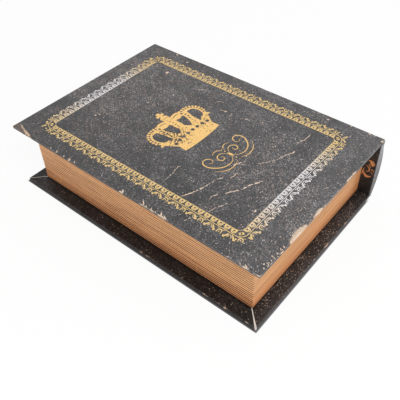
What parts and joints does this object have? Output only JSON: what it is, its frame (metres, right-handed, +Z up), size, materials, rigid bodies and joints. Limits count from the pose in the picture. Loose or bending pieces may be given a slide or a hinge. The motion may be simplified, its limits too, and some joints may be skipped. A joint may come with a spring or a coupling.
{
  "type": "book box",
  "caption": "Keepsake box shaped like an old bound book, with a page-lined tray, a rounded spine and a wrapped lid that turns on a cloth hinge along the spine.",
  "frame": {"origin": "centre of the base cover's underside", "axes": "+Z up, X along the spine with the tail at +X, the fore-edge faces -Y and the spine +Y"},
  "size_m": [0.27, 0.1918, 0.066],
  "materials": {
    "wrap": "grained imitation leather, satin, worn",
    "wrap_inside": "grained imitation leather, satin, speckled",
    "page_wood": "scored fibreboard, matt",
    "raw_board": "fibreboard, matt",
    "lining": "matt",
    "felt": "matt felt",
    "magnet": "satin",
    "gold_print": "stamped foil, satin"
  },
  "bodies": {
    "case": {"base_board": "raw_board", "base_wrap": "wrap_inside", "tray_floor": "page_wood", "fore_edge_wall": "page_wood", "spine_side_wall": "page_wood", "head_wall": "page_wood", "tail_wall": "page_wood", "spine_core": "raw_board", "spine_wrap": "wrap", "hinge_cloth": "wrap", "ledge_strip": "lining", "floor_lining": "felt", "fore_edge_lining": "lining", "spine_side_lining": "lining", "head_lining": "lining", "tail_lining": "lining", "tray_magnet_head": "magnet", "tray_magnet_tail": "magnet"},
    "lid": {"lid_board": "raw_board", "lid_wrap": "wrap", "lid_lining": "lining", "lid_magnet_head": "magnet", "lid_magnet_tail": "magnet"}
  },
  "joints": [
    {"name": "lid_hinge", "type": "hinge", "parent": "case", "child": "lid", "pos_m": [0, 0.0933, 0.0635], "axis": [-1, 0, 0], "range_deg": [0, 199], "deforming": ["hinge_cloth"]}
  ]
}
